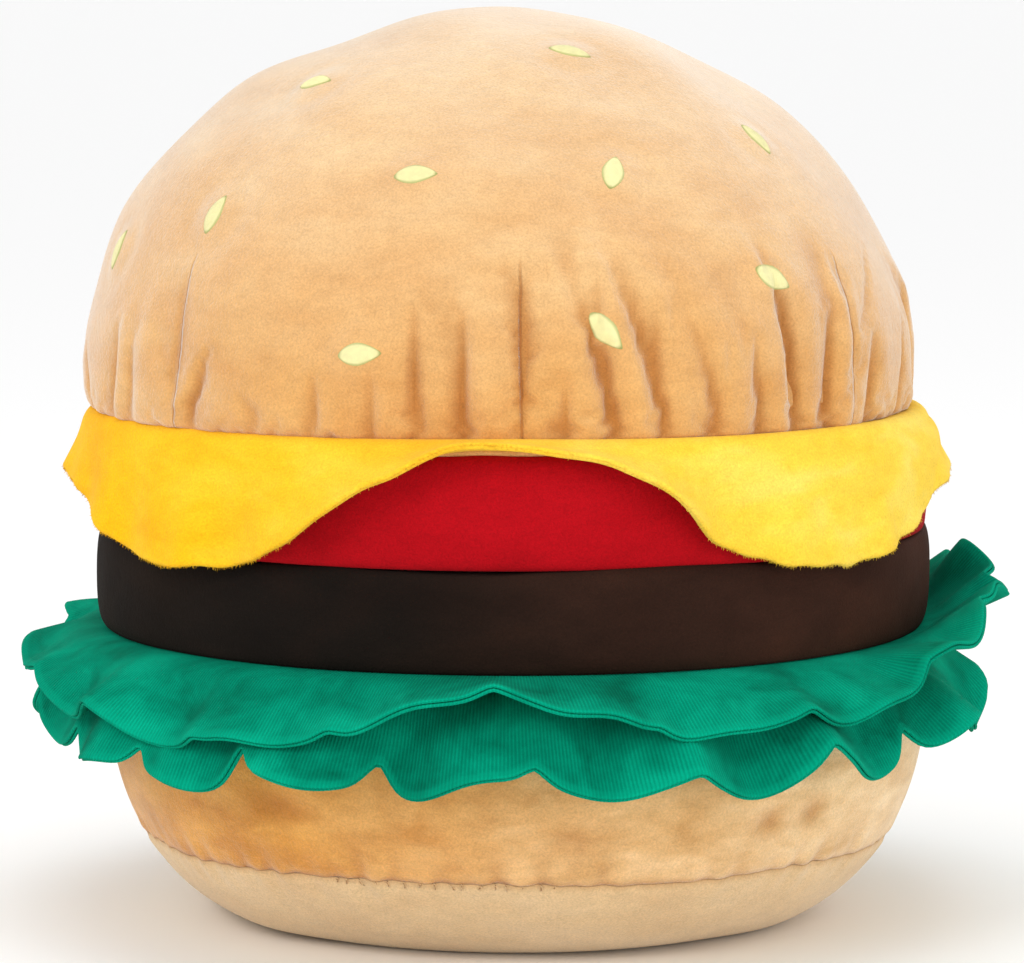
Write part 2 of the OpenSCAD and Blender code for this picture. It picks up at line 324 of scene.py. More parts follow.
def ribbed_velour(name, dark, mid, light):
    """Knit velour whose fine ribs run out towards the hem, with painted sheen lightening the hem."""
    mat = material(name, mid, 0.9, 0.02, (0.3, 1.0, 0.8), specular=0.02)
    where = place(mat)
    patches = ramp(mat, noise(mat, where, 35 * MM, 3, 0.6, 0.5), [(0.3, dark), (0.5, mid), (0.72, light)])
    ribs = radial_ribs(mat, RIBS)
    colour = tinted(mat, patches, ribs, [(0.0, grey(0.72)), (1.0, grey(1.15))], 0.7)
    fibres = noise(mat, where, 0.8 * MM, 2, 0.7)
    colour = tinted(mat, colour, fibres, [(0.3, grey(0.8)), (0.7, grey(1.15))], 0.5)
    # Painted sheen: the hem field lightens the rolled edge towards the light colour.
    colour = blend(mat, colour, (*light, 1), attribute(mat, "hem"))
    return finished(mat, colour, bump(mat, fibres, 0.3 * MM, 0.7, bump(mat, ribs, 0.3 * MM, 0.8)))


def bands(mat, direction, scale, distortion):
    node = add(mat, "ShaderNodeTexWave", wave_type="BANDS", bands_direction=direction, Scale=scale,
               Distortion=distortion)
    join(mat, place(mat), node.inputs["Vector"])
    return node.outputs["Fac"]


def thread(name, colour, ply_highlight):
    """Twisted polyester thread, with painted highlight along each ply of the twist."""
    mat = material(name, colour, 0.5, 0.2, (1, 1, 1))
    twist = bands(mat, "DIAGONAL", 420, 1.5)
    return finished(mat, ramp(mat, twist, [(0.2, colour), (0.8, ply_highlight)]), bump(mat, twist, 0.15 * MM, 0.6))


def satin_stitch(name, dark, mid, light, rim_shade_colour):
    """Embroidery: glossy rows of thread, with painted shade between the rows, painted highlight along them
    and painted olive shade at the rim where the leaf turns down into the cloth.
    """
    mat = material(name, mid, 0.42, 0.25, (1, 1, 0.8), specular=0.5)
    row = attribute(mat, "row")
    # Painted shade between the stitch rows and painted highlight along them.
    rows = ramp(mat, row, [(0.0, dark), (0.4, mid), (1.0, light)])
    rows = tinted(mat, rows, noise(mat, place(mat), 2.5 * MM, 2), [(0.3, grey(0.88)), (0.7, grey(1.05))], 0.7)
    # Painted shade on the rim, where the leaf turns down into the cloth.
    colour = blend(mat, rows, (*rim_shade_colour, 1), attribute(mat, "rim"))
    return finished(mat, colour, bump(mat, row, 0.25 * MM, 0.8))


def satin_ribbon(name):
    mat = material(name, (0.9, 0.9, 0.88), 0.35, 0.1, (1, 1, 1))
    weave = bands(mat, "X", 900, 0.4)
    colour = ramp(mat, weave, [(0, grey(0.8)), (1, grey(0.93))])
    return finished(mat, colour, bump(mat, weave, 0.08 * MM, 0.5))


def fibre_fill(name):
    mat = material(name, (0.93, 0.93, 0.91), 0.95, 0.3, (1, 1, 1))
    tufts = noise(mat, place(mat), 9 * MM, 5, 0.65, 1.2)
    colour = ramp(mat, tufts, [(0.3, grey(0.72)), (0.65, grey(0.95))])
    return finished(mat, colour, bump(mat, tufts, 3 * MM, 0.8))


# The Z ramp paints light on the crown's top; the X ramps paint light on the right of the side, the cheese and
# the patty.
BUN = plush("bun_plush", (0.62, 0.345, 0.14), (0.675, 0.405, 0.182), (0.715, 0.46, 0.225),
            sheen=0.9, sheen_colour=(1, 0.99, 0.96), darts=True,
            painted_light_ramp=("Z", 0.235, 0.36, (0.98, 0.85, 0.60), (1.08, 1.18, 1.36)))
SIDE = plush("side_plush", (0.57, 0.29, 0.095), (0.68, 0.39, 0.155), (0.77, 0.48, 0.22),
             nap=0.22, patch=30 * MM, sheen=0.5, sheen_colour=(1, 0.98, 0.94),
             painted_light_ramp=("X", -0.10, 0.15, (1.06, 0.82, 0.38), (1.26, 1.48, 1.9)))
BASE = plush("base_plush", (0.74, 0.49, 0.255), (0.79, 0.555, 0.305), (0.84, 0.61, 0.365), sheen=0.4,
             sheen_colour=(1, 0.95, 0.86))
CHEESE = plush("cheese_plush", (0.91, 0.48, 0.012), (0.94, 0.54, 0.020), (0.95, 0.60, 0.04), nap=0.2,
               sheen=0.1, sheen_colour=(1, 0.95, 0.6), folds=False,
               painted_light_ramp=("X", -0.17, 0.17, (1.0, 0.89, 0.14), (1.0, 1.17, 3.0)))
TOMATO = plush("tomato_velour", (0.36, 0.002, 0.006), (0.43, 0.003, 0.008), (0.47, 0.004, 0.010),
               sheen=0.02, sheen_colour=(1, 0.4, 0.4), patch=70 * MM, folds=False)
PATTY = plush("patty_velour", (0.008, 0.005, 0.004), (0.012, 0.0075, 0.006), (0.018, 0.010, 0.007),
              sheen=0.01, sheen_colour=(0.9, 0.6, 0.5), patch=90 * MM, folds=False,
              painted_light_ramp=("X", -0.07, 0.17, (0.8, 0.85, 0.80), (4.0, 2.4, 1.8)))
LETTUCE = ribbed_velour("lettuce_velour", (0.0, 0.15, 0.085), (0.0, 0.255, 0.15), (0.001, 0.37, 0.22))
# The last colour is the painted shade of each seed's rim.
SEED = satin_stitch("seed_embroidery", (0.76, 0.70, 0.28), (0.93, 0.86, 0.40), (0.97, 0.92, 0.52),
                    (0.36, 0.38, 0.09))
BUN_THREAD = thread("bun_thread", (0.36, 0.20, 0.085), (0.70, 0.48, 0.26))
LETTUCE_THREAD = thread("lettuce_thread", (0.0, 0.2, 0.12), (0.0, 0.36, 0.22))
TOMATO_THREAD = thread("tomato_thread", (0.3, 0.01, 0.02), (0.5, 0.02, 0.03))
LABEL = satin_ribbon("label_satin")
FILL = fibre_fill("stuffing")

# ---- Curves in the radial plane, as arrays of (radius, height) ----


def quarter(r0, z0, r1, z1, power, steps=60):
    """Quarter of a superellipse that leaves (r0, z0) upright and comes to (r1, z1) level."""
    a = np.linspace(0, math.pi / 2, steps)
    r = r1 + (r0 - r1) * np.cos(a) ** (2 / power)
    z = z0 + (z1 - z0) * np.sin(a) ** (2 / power)
    return np.stack([r, z], -1)


def chain(*curves):
    """The curves end to end, without the points that they share."""
    return np.concatenate([curves[0]] + [c[1:] for c in curves[1:]])


def along(curve, distances):
    """Points of a curve at distances from its start, with its outward normals."""
    steps = np.concatenate([[0], np.cumsum(np.hypot(*np.diff(curve, axis=0).T))])
    point = np.stack([np.interp(distances, steps, curve[:, k]) for k in (0, 1)], -1)
    ahead = np.stack([np.interp(distances + 1 * MM, steps, curve[:, k]) for k in (0, 1)], -1)
    behind = np.stack([np.interp(distances - 1 * MM, steps, curve[:, k]) for k in (0, 1)], -1)
    slope = ahead - behind
    slope /= np.linalg.norm(slope, axis=1, keepdims=True)
    return point, np.stack([slope[:, 1], -slope[:, 0]], -1)


def length_of(curve):
    return float(np.hypot(*np.diff(curve, axis=0).T).sum())


CROWN_CURVE = chain(
    quarter(CROWN_R, CROWN_WIDEST_Z, CHEESE_SEAM_R, CROWN_Z, 3.2)[::-1],
    quarter(CROWN_R, CROWN_WIDEST_Z, 0, CROWN_TOP, 1.9, 300))
TOMATO_MID_Z = (TOMATO_Z + UNDERSIDE_Z) / 2
TOMATO_CURVE = chain(
    quarter(FILLING_R, TOMATO_MID_Z, PATTY_SEAM_R, TOMATO_Z, 2.6)[::-1],
    quarter(FILLING_R, TOMATO_MID_Z, CHEESE_SEAM_R, UNDERSIDE_Z, 2.6))
PATTY_MID_Z = (PATTY_Z + TOMATO_Z) / 2
PATTY_CURVE = chain(
    quarter(FILLING_R, PATTY_MID_Z, LETTUCE_SEAM_R, PATTY_Z, 2.6)[::-1],
    quarter(FILLING_R, PATTY_MID_Z, PATTY_SEAM_R, TOMATO_Z, 2.6))
UNDER_CURVE = quarter(SIDE_R, SIDE_WIDEST_Z, FOOT_R, 0, 1.9, 600)[::-1]
SIDE_CURVE = chain(
    UNDER_CURVE[UNDER_CURVE[:, 1] >= BASE_SEAM_Z],
    quarter(SIDE_R, SIDE_WIDEST_Z, LETTUCE_SEAM_R - 1 * MM, SIDE_TOP_Z, 3.2))
BASE_CURVE = chain(np.array([[0, 0], [FOOT_R, 0]]), UNDER_CURVE[UNDER_CURVE[:, 1] <= BASE_SEAM_Z])

# ---- Fields over azimuth (radians) and distance (metres) ----


def waves(azimuth, distance, seed, low, high, length, count=24):
    """Smooth random field of about unit size, with low to high waves round the cushion and
    features of about `length` along the other way."""
    rng = np.random.default_rng(seed)
    total = np.zeros(np.broadcast(azimuth, distance).shape)
    for _ in range(count):
        around_by = rng.integers(low, high + 1)
        along_by = rng.normal() * 2 * math.pi / length / 2
        total += np.cos(around_by * azimuth + along_by * distance + rng.uniform(0, 2 * math.pi))
    return total / math.sqrt(count / 2)


def lumps(grid, seed, length, count=28):
    """Smooth random field of about unit size over points in space, with lumps of about `length`."""
    rng = np.random.default_rng(seed)
    total = np.zeros(grid.shape[:-1])
    for _ in range(count):
        direction = rng.normal(size=3)
        direction *= math.pi / length * rng.uniform(0.5, 1.2) / np.linalg.norm(direction)
        total += np.cos(grid @ direction + rng.uniform(0, 2 * math.pi))
    return total / math.sqrt(count / 2)


def eased(values, azimuth):
    """Value of a closed list of equal steps of azimuth, joined smoothly."""
    values = np.asarray(values, float)
    p = (azimuth / (2 * math.pi)) % 1 * len(values)
    i = np.floor(p).astype(int)
    f = p - i
    a, b, c, d = (values[(i + k) % len(values)] for k in (-1, 0, 1, 2))
    return b + 0.5 * f * (c - a + f * (2 * a - 5 * b + 4 * c - d + f * (3 * (b - c) + d - a)))


def step(value, start, end):
    """0 before start, 1 after end, and smooth between."""
    t = np.clip((value - start) / (end - start), 0, 1)
    return t * t * (3 - 2 * t)


def degrees_from(azimuth, centre):
    """Signed angle from a centre azimuth in degrees, as radians."""
    return (azimuth - math.radians(centre) + math.pi) % (2 * math.pi) - math.pi


# ---- Meshes from grids of points, whose columns go round the cushion ----


def azimuths(columns):
    return np.linspace(0, 2 * math.pi, columns, endpoint=False)


def spun(radius, height, azimuth):
    """Points at radius and height, at each azimuth."""
    radius, height, azimuth = np.broadcast_arrays(radius, height, azimuth)
    return np.stack([radius * np.sin(azimuth), -radius * np.cos(azimuth), height], -1)


def raised(point, normal, push, azimuth):
    """A curve's points spun round the cushion and pushed out along its normals."""
    return spun(point[:, :1] + normal[:, :1] * push, point[:, 1:] + normal[:, 1:] * push, azimuth)


def new_piece(name, points, faces, mat, fields=None):
    """Piece on the cushion's body. A field that is shorter than the points is 0.5 on the rest."""
    mesh = bpy.data.meshes.new(name)
    mesh.from_pydata([tuple(p) for p in points], [], faces)
    mesh.shade_smooth()
    for key, field in (fields or {}).items():
        values = np.full(len(points), 0.5)
        values[:field.size] = field.ravel()
        mesh.attributes.new(key, "FLOAT", "POINT").data.foreach_set("value", values)
    piece = bpy.data.objects.new(name, mesh)
    bpy.context.collection.objects.link(piece)
    mesh.materials.append(mat)
    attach(piece, BODY)
    return piece


def skin(name, grid, mat, loop=False, start_pole=None, end_pole=None, fields=None, extra=None):
    """Closed mesh over a grid. `loop` joins its last row to its first; a pole closes an end.
    `extra` is the points and faces of more closed bits in the same mesh."""
    rows, columns = grid.shape[:2]
    points = list(grid.reshape(-1, 3))
    index = np.arange(rows * columns).reshape(rows, columns)
    if loop:
        index = np.concatenate([index, index[:1]])
    turned = np.roll(index, -1, 1)
    faces = np.stack([index[:-1], turned[:-1], turned[1:], index[1:]], -1).reshape(-1, 4).tolist()
    for pole, row in ((start_pole, index[0][::-1]), (end_pole, index[-1])):
        if pole is None:
            continue
        top = len(points)
        points.append(np.asarray(pole, float))
        faces += [(int(a), int(b), top) for a, b in zip(row, np.roll(row, -1))]
    if extra:
        faces += [tuple(len(points) + k for k in face) for face in extra[1]]
        points += list(extra[0])
    return new_piece(f"{name}_cloth", points, faces, mat, fields)


def normals_of(grid):
    """Normals of a grid of points, outward or upward."""
    along_columns = np.roll(grid, -1, 1) - np.roll(grid, 1, 1)
    along_rows = np.gradient(grid, axis=0)
    normal = np.cross(along_rows, along_columns)
    return normal / np.maximum(np.linalg.norm(normal, axis=2, keepdims=True), 1e-12)


def refine(grid):
    """Twice as many rows and columns, through the same points, by the four-point rule."""
    between = (9 * (grid + np.roll(grid, -1, 1)) - np.roll(grid, 1, 1) - np.roll(grid, -2, 1)) / 16
    wide = np.empty((grid.shape[0], grid.shape[1] * 2) + grid.shape[2:])
    wide[:, 0::2], wide[:, 1::2] = grid, between
    padded = np.concatenate([2 * wide[:1] - wide[1:2], wide, 2 * wide[-1:] - wide[-2:-1]])
    middle = (9 * (padded[1:-2] + padded[2:-1]) - padded[:-3] - padded[3:]) / 16
    tall = np.empty((wide.shape[0] * 2 - 1,) + wide.shape[1:])
    tall[0::2], tall[1::2] = wide, middle
    return tall


# ---- Stuffed covers ----


PLUSH_CLOTH = {
    "quality": 4, "mass": 0.01, "tension_stiffness": 30, "compression_stiffness": 30, "shear_stiffness": 10,
    "bending_stiffness": 0.06, "tension_damping": 1, "compression_damping": 1, "shear_damping": 1,
    "bending_damping": 0.1, "use_pressure": True, "uniform_pressure_force": 90}
SIM_FRAMES = 14
MOST_SWELL = 9 * MM


def grid_faces(rows, columns):
    """Quads over a grid whose columns go round, as point numbers."""
    index = np.arange(rows * columns).reshape(rows, columns)
    turned = np.roll(index, -1, 1)
    return np.stack([index[:-1], turned[:-1], turned[1:], index[1:]], -1).reshape(-1, 4).tolist()


def cloth_for(start, faces, pinned, fullness):
    """Cloth held at its sewn points, and cut fuller than its seams by `fullness` at each point."""
    mesh = bpy.data.meshes.new("cover_cloth")
    mesh.from_pydata(start.tolist(), [], faces)
    cloth = bpy.data.objects.new("cover_cloth", mesh)
    bpy.context.collection.objects.link(cloth)
    sewn = cloth.vertex_groups.new(name="sewn")
    sewn.add(np.flatnonzero(pinned).tolist(), 1.0, "REPLACE")
    snug = cloth.vertex_groups.new(name="snug")
    most = float(fullness.max())
    for i, share in enumerate((1 - fullness / most).ravel().tolist()):
        snug.add([i], share, "REPLACE")
    modifier = cloth.modifiers.new("cloth", "CLOTH")
    for key, value in PLUSH_CLOTH.items():
        setattr(modifier.settings, key, value)
    modifier.settings.effector_weights.gravity = 0
    modifier.settings.vertex_group_mass = "sewn"
    modifier.settings.vertex_group_shrink = "snug"
    modifier.settings.shrink_min = -most
    modifier.settings.shrink_max = 0
    modifier.collision_settings.use_collision = False
    modifier.point_cache.frame_start, modifier.point_cache.frame_end = 1, SIM_FRAMES
    return cloth


def sewn_and_stuffed(grid, pinned, fullness):
    """Cloth simulation of a cover, blown up by its stuffing. No point moves past MOST_SWELL."""
    start = grid.reshape(-1, 3)
    cloth = cloth_for(start, grid_faces(*grid.shape[:2]), pinned, fullness)
    for number in range(1, SIM_FRAMES + 1):
        bpy.context.scene.frame_set(number)
    settled = cloth.evaluated_get(bpy.context.evaluated_depsgraph_get()).data
    end = np.empty(len(settled.vertices) * 3)
    settled.vertices.foreach_get("co", end)
    bpy.context.scene.frame_set(1)
    bpy.data.objects.remove(cloth)
    moved = end.reshape(-1, 3) - start
    reach = np.linalg.norm(moved, axis=1, keepdims=True)
    moved *= np.minimum(1, MOST_SWELL / np.maximum(reach, 1e-9))
    return (start + moved).reshape(grid.shape)


SIM_COLUMNS = 324
# How much fuller the cover is cut than its seams, the most at the seam, and its share round the
# cushion at equal steps of azimuth
CROWN_FULLNESS = 0.075
FULLNESS_SHARES = [1.0, 1.0, 0.95, 0.8, 0.6, 0.8, 0.9, 0.8, 0.7, 0.5, 0.2, 0.45]
# Gathers: azimuth at the seam, lean by the top, both in degrees, height and depth in mm, and how
# much softer the left side of each is than its right
FRONT_GATHERS = [
    (-34, -2, 40, 0.8, 1.0), (-25, 1, 46, 1.2, 1.4), (-17, 2, 64, 2.2, 0.6), (-11, 0, 80, 4.2, 0.5),
    (-4, -2, 92, 4.8, 1.9), (9, -4, 74, 3.0, 1.5), (15, -10, 104, 5.4, 0.6), (22, -13, 112, 5.4, 0.5),
    (30, -10, 84, 3.2, 1.6), (37, -5, 60, 3.0, 0.7), (43, -7, 108, 6.2, 0.5), (50, 1, 86, 5.2, 1.7),
    (60, 0, 60, 2.8, 1.0)]


def gathers():
    """The gathers seen at the front, then others of their kind all round the back."""
    rng = np.random.default_rng(7)
    rest = [(centre + rng.uniform(-4, 4), rng.uniform(-8, 8), rng.uniform(45, 92), rng.uniform(1.5, 4.8),
             math.exp(rng.uniform(-0.7, 0.7))) for centre in range(70, 320, 11)]
    return FRONT_GATHERS + rest


def crown_spacing():
    """Distances up the crown of the grid's rows: close together near the seam."""
    total = length_of(CROWN_CURVE)
    gathered = np.arange(0, 112 * MM, 3 * MM)
    dome = np.linspace(gathered[-1] + 4 * MM, total - 4 * MM, 34)
    return np.concatenate([gathered, dome])


def groove(azimuth, distance, centre, lean, height, width, skew=1.0):
    """1 along a line up from the seam that leans by so many degrees, and 0 away from it. The left
    side is `skew` times softer than the width, and the right side that much sharper."""
    rise = np.clip(distance / height, 0, 1)
    off = (degrees_from(azimuth, centre) - math.radians(lean) * rise ** 1.5) * CROWN_R
    off = off / (width * np.where(off < 0, skew, 1 / skew))
    return np.exp(-off ** 2) * (1 - step(distance, 0.3 * height, height))


def dart_line(azimuth, distance, width):
    line = 0
    for i in range(DARTS):
        line = line + groove(azimuth, distance, FIRST_DART + 360 * i / DARTS, 0, 1.35 * DART_L, width)
    return line * (1 - step(distance, 0.85 * DART_L, DART_L))


def gather_folds(azimuth, distance):
    """Valleys, each sharper on one side, with soft ridges between them."""
    folds = 0
    for centre, lean, height, depth, skew in gathers():
        valley = groove(azimuth, distance, centre, lean, height * MM, 6.5 * MM, skew)
        ridge = groove(azimuth, distance, centre + 3.2, lean, 1.1 * height * MM, 8 * MM)
        folds = folds + depth * MM * (0.4 * ridge - valley)
    return folds * (0.35 + 0.65 * step(distance, 0, 14 * MM)) * step(distance, 0, 3 * MM)


def seed_nodes():
    return [node for node in sorted(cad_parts) if node.startswith("sesame_seed")]


def seed_centre(node):
    low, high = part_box(node)
    return (np.array(low) + np.array(high)) / 2


def seed_dimples(points):
    """How far the embroidery pulls the cover in round each seed."""
    push = np.zeros(points.shape[:2])
    for node in seed_nodes():
        away = np.linalg.norm(points - seed_centre(node), axis=2)
        rim = 0.5 * MM * np.exp(-((away - 15 * MM) / (5 * MM)) ** 2)
        push += rim - 1.5 * MM * np.exp(-(away / (9 * MM)) ** 2)
    return push


def stuffed_crown(grid, plain, distance, azimuth):
    """The cover after the simulation, less the even swelling that its pattern allows for."""
    pinned = np.broadcast_to(distance < 2 * MM, grid.shape[:2]).copy()
    pinned |= np.broadcast_to(distance > 150 * MM, grid.shape[:2])
    pinned |= dart_line(azimuth, distance, 2 * MM) > 0.6
    share = eased(FULLNESS_SHARES, azimuth)
    fullness = CROWN_FULLNESS * share * np.clip(1 - distance / (88 * MM), 0, 1) ** 1.2
    blown = sewn_and_stuffed(grid, pinned, fullness)
    swell = (blown - grid).mean(axis=1, keepdims=True) * [0, 0, 1]
    outward = plain / np.maximum(np.linalg.norm(plain[..., :2], axis=2, keepdims=True), 1e-9) * [1, 1, 0]
    spread = ((blown - grid) * outward).sum(axis=2).mean(axis=1)[:, None, None]
    return blown - swell - 0.9 * spread * outward


def crown_lining(azimuth):
    """Inner face of the cover, from the top down to its seam allowance."""
    point, normal = along(CROWN_CURVE, np.linspace(length_of(CROWN_CURVE) - 12 * MM, 12 * MM, 16))
    point = point - 7 * MM * normal
    allowance_r = CHEESE_SEAM_R - ALLOWANCE
    lining = np.concatenate([point, [[allowance_r, CROWN_Z + 2.5 * MM], [allowance_r, CROWN_Z]]])
    return spun(lining[:, :1], lining[:, 1:], azimuth)


def make_crown():
    distance = crown_spacing()[:, None]
    azimuth = azimuths(SIM_COLUMNS)[None, :]
    point, normal = along(CROWN_CURVE, distance[:, 0])
    plain = spun(point[:, :1], point[:, 1:], azimuth)
    uneven = (lumps(plain, 11, 0.09) * 1.2 + lumps(plain, 12, 0.032) * 0.9) * MM * step(distance, 0, 60 * MM)
    push = uneven + gather_folds(azimuth, distance) - 0.6 * MM * dart_line(azimuth, distance, 3 * MM)
    grid = raised(point, normal, push, azimuth)
    grid = stuffed_crown(grid, plain, distance, azimuth)
    middle = [0, 0, CROWN_Z]
    from_middle = np.linalg.norm(grid - middle, axis=2) - np.linalg.norm(plain - middle, axis=2)
    hollow = refine((from_middle - blurred(from_middle, 5)) / (7 * MM))
    grid = refine(grid)
    rows = np.arange(len(distance))
    distance = np.interp(np.arange(2 * len(rows) - 1) / 2, rows, distance[:, 0])[:, None]
    azimuth = azimuths(grid.shape[1])[None, :]
    crease = dart_line(azimuth, distance, 1.2 * MM)
    tugs = dart_line(azimuth, distance, 9 * MM) * lumps(grid * [1, 1, 1.6], 13, 0.014) * 0.3 * MM
    push = tugs - 0.6 * MM * crease + seed_dimples(grid)
    grid = grid + normals_of(grid) * (push * step(distance, 0, 4 * MM))[..., None]
    grid = grid + [CROWN_SHIFT, 0, 0]
    inside = crown_lining(azimuth)
    # Painted shade in the hollows of the gathers and in the dart creases, and painted light on the ridges.
    fold = np.clip(0.5 + 1.2 * hollow - 0.15 * crease, 0, 1)
    fold = np.concatenate([np.full(inside.shape[:2], 0.5), fold])
    piece = skin("top_bun_cover", np.concatenate([inside, grid]), BUN,
                 start_pole=(0, 0, CROWN_TOP - 8 * MM), end_pole=grid[-1].mean(axis=0) + [0, 0, 0.1 * MM],
                 fields={"fold": fold})
    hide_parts("top_bun_cover")
    return piece


def blurred(field, reach):
    """Mean over a stretch of columns, for telling folds from the cushion's general shape."""
    total = np.zeros_like(field)
    for k in range(-reach, reach + 1):
        total += np.roll(field, k, 1)
    return total / (2 * reach + 1)


crown = make_crown()


def make_band(name, curve, mat, rows, columns, out, fields=None):
    """Sewn band: an outer face displaced by out(azimuth, distance), allowances and a lining."""
    distance = np.linspace(0, length_of(curve), rows)[:, None]
    azimuth = azimuths(columns)[None, :]
    point, normal = along(curve, distance[:, 0])
    outer = raised(point, normal, out(azimuth, distance), azimuth) + np.array([DRUM_SHIFT, 0, 0])
    (first_r, first_z), (last_r, last_z), (mid_r, mid_z) = point[0], point[-1], point[rows // 2]
    deep = 6 * MM
    lining = np.array([[last_r - ALLOWANCE, last_z], [last_r - ALLOWANCE, last_z - 2.5 * MM],
                       [last_r - deep, last_z - 3 * MM], [mid_r - deep, mid_z],
                       [first_r - deep, first_z + 3 * MM], [first_r - ALLOWANCE, first_z + 2.5 * MM],
                       [first_r - ALLOWANCE, first_z]])
    inside = spun(lining[:, :1], lining[:, 1:], azimuth)
    extra = {key: field(azimuth, distance) for key, field in (fields or {}).items()}
    piece = skin(name, np.concatenate([outer, inside]), mat, loop=True, fields=extra)
    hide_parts(name)


def filling_lumps(seed, size):
    def out(azimuth, distance):
        edge = step(distance, 0, 8 * MM)
        return edge * (waves(azimuth, distance, seed, 2, 9, 0.2) * size
                       + waves(azimuth, distance, seed + 1, 12, 40, 0.06) * 0.15 * MM)
    return out


make_band("tomato_band", TOMATO_CURVE, TOMATO, 30, 420, filling_lumps(21, 0.6 * MM))
make_band("patty_band", PATTY_CURVE, PATTY, 30, 420, filling_lumps(31, 0.7 * MM))


def seam_puckers(azimuth, seam_distance):
    """Puckers of the base seam, in mm, deepest where it is closed by hand."""
    hand_sewn = np.exp(-(degrees_from(azimuth, -13) / math.radians(22)) ** 4)
    size = (0.3 + 0.6 * hand_sewn) * np.exp(-(seam_distance / (12 * MM)) ** 2)
    return waves(azimuth, seam_distance, 41, 40, 90, 0.03, 40) * size


def bun_unevenness(azimuth, point, seam_distance):
    """Lumps of the bottom bun, which run on over its base seam, and the puckers of that seam."""
    plain = spun(point[:, :1], point[:, 1:], azimuth)
    seam = -0.8 * np.exp(-(seam_distance / (2 * MM)) ** 2)
    lumpy = lumps(plain, 42, 0.08) * 1.1 + lumps(plain, 43, 0.03) * 0.35
    return (lumpy + seam_puckers(azimuth, seam_distance) + seam) * MM


# Dents where the bottom bun was squeezed: azimuth in degrees, height, size and depth in mm
DENTS = [(38, 58, 9, 2.2), (46, 60, 8, 1.8), (-33, 66, 12, 1.4), (8, 55, 12, 0.9),
         (110, 60, 12, 1.8), (165, 55, 13, 2.0), (215, 62, 11, 1.6), (262, 57, 12, 1.9)]


def dents(azimuth, height):
    hollow = 0
    for centre, level, size, depth in DENTS:
        away = np.hypot(degrees_from(azimuth, centre) * SIDE_R, 1.4 * (height - level * MM))
        hollow = hollow - depth * MM * np.exp(-(away / (size * MM)) ** 2)
    return hollow


def side_lumps(azimuth, distance):
    total = length_of(SIDE_CURVE)
    point = along(SIDE_CURVE, distance[:, 0])[0]
    push = bun_unevenness(azimuth, point, distance) + dents(azimuth, point[:, 1:])
    return push * (1 - step(distance, total - 12 * MM, total))


def side_folds(azimuth, distance):
    """Shade of the dents and the seam, from 0 in a hollow to 1 on a ridge."""
    point = along(SIDE_CURVE, distance[:, 0])[0]
    hollow = dents(azimuth, point[:, 1:]) / (5 * MM) + 0.22 * seam_puckers(azimuth, distance)
    return np.clip(0.5 + hollow - 0.25 * np.exp(-(distance / (2 * MM)) ** 2), 0, 1)


make_band("bottom_bun_side", SIDE_CURVE, SIDE, 70, 480, side_lumps, {"fold": side_folds})


def make_base():
    total = length_of(BASE_CURVE)
    distance = np.concatenate([np.linspace(8 * MM, FOOT_R, 12), np.linspace(FOOT_R + 2 * MM, total, 60)])
    distance = distance[:, None]
    azimuth = azimuths(480)[None, :]
    point, normal = along(BASE_CURVE, distance[:, 0])
    push = bun_unevenness(azimuth, point, total - distance) * step(distance, FOOT_R, FOOT_R + 25 * MM)
    outer = raised(point, normal, push, azimuth)
    outer[..., 2] = np.maximum(outer[..., 2], 0)
    allowance_r = BASE_SEAM_R - ALLOWANCE
    lining = np.array([[allowance_r, BASE_SEAM_Z], [allowance_r, BASE_SEAM_Z - 2.5 * MM],
                       [BASE_SEAM_R - 6 * MM, BASE_SEAM_Z - 4 * MM], [130 * MM, 12 * MM], [FOOT_R, 5 * MM],
                       [10 * MM, 5 * MM]])
    inside = spun(lining[:, :1], lining[:, 1:], azimuth)
    shift = np.array([DRUM_SHIFT, 0, 0]) * step(distance, FOOT_R, total)[..., None]
    # Painted shade along the base seam, stored as the fold field.
    seam = np.exp(-((total - distance) / (2 * MM)) ** 2) + 0 * azimuth
    piece = skin("base_panel", np.concatenate([outer + shift, inside]), BASE,
                 start_pole=(0, 0, 0), end_pole=(0, 0, 5 * MM), fields={"fold": 0.5 - 0.25 * seam})
    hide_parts("base_panel")


make_base()


def make_underside():
    """Flat disc whose rolled rim shows under the cheese."""
    azimuth = azimuths(360)[None, :]
    turn = np.linspace(-math.pi / 2, math.pi / 2, 9)
    mid, half = (UNDERSIDE_Z + high_z("top_bun_underside")) / 2, 1.25 * MM
    rim = np.stack([CHEESE_SEAM_R + half * np.cos(turn), mid + half * np.sin(turn)], -1)
    profile = np.concatenate([[[40 * MM, mid - half]], rim, [[40 * MM, mid + half]]])
    wobble = 1 + 0.004 * waves(azimuth, 0.0, 61, 3, 30, 1)
    grid = spun(profile[:, :1] * wobble, profile[:, 1:], azimuth) + np.array([DRUM_SHIFT / 2, 0, 0])
    piece = skin("top_bun_underside", grid, SIDE, start_pole=(0, 0, mid - half),
                 end_pole=(0, 0, mid + half), fields={"fold": np.full(grid.shape[:2], 0.5)})
    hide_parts("top_bun_underside")


make_underside()


def make_fill(name, curve, inset, poles):
    """Stuffing, kept clear of the deepest folds of its cover."""
    distance = np.linspace(6 * MM, length_of(curve) - 6 * MM, 40)
    azimuth = azimuths(96)[None, :]
    point, normal = along(curve, distance)
    point = point - inset * normal
    point[:, 0] = np.maximum(point[:, 0], 3 * MM)
    tufts = waves(azimuth, distance[:, None], 71, 5, 25, 0.05) * 0.8 * MM
    grid = spun(point[:, :1] + tufts, point[:, 1:], azimuth)
    piece = skin(name, grid, FILL, start_pole=(0, 0, poles[0]), end_pole=(0, 0, poles[1]))
    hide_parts(name)


